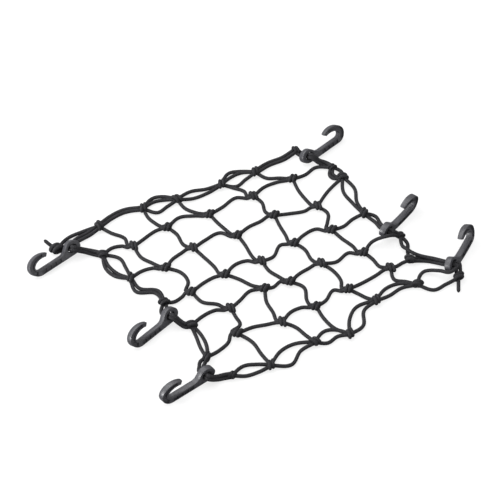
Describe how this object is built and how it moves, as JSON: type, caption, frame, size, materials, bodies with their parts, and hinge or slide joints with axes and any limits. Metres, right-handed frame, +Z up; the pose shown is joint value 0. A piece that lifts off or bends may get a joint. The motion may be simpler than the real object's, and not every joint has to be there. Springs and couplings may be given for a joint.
{
  "type": "elastic cargo net",
  "caption": "Elastic cord cargo net of open square meshes with knotted crossings, a doubled border and moulded hooks on two sides, lying slack, for holding loads on a rack.",
  "frame": {"origin": "on the floor under the middle of the whole net's bounding box", "axes": "+Z up from the floor the net lies on, X along the rows of the net with the three hooks of one side pointing to -X and the three of the other side to +X, Y along the columns"},
  "size_m": [0.4342, 0.339, 0.0238],
  "materials": {
    "cord": "braided elastic cord, matte charcoal black",
    "hook_plastic": "moulded black plastic, satin grain"
  },
  "bodies": {
    "root": {"net": "cord", "hook_left_back": "hook_plastic", "hook_left_middle": "hook_plastic", "hook_left_front": "hook_plastic", "hook_right_back": "hook_plastic", "hook_right_middle": "hook_plastic", "hook_right_front": "hook_plastic"}
  },
  "joints": []
}
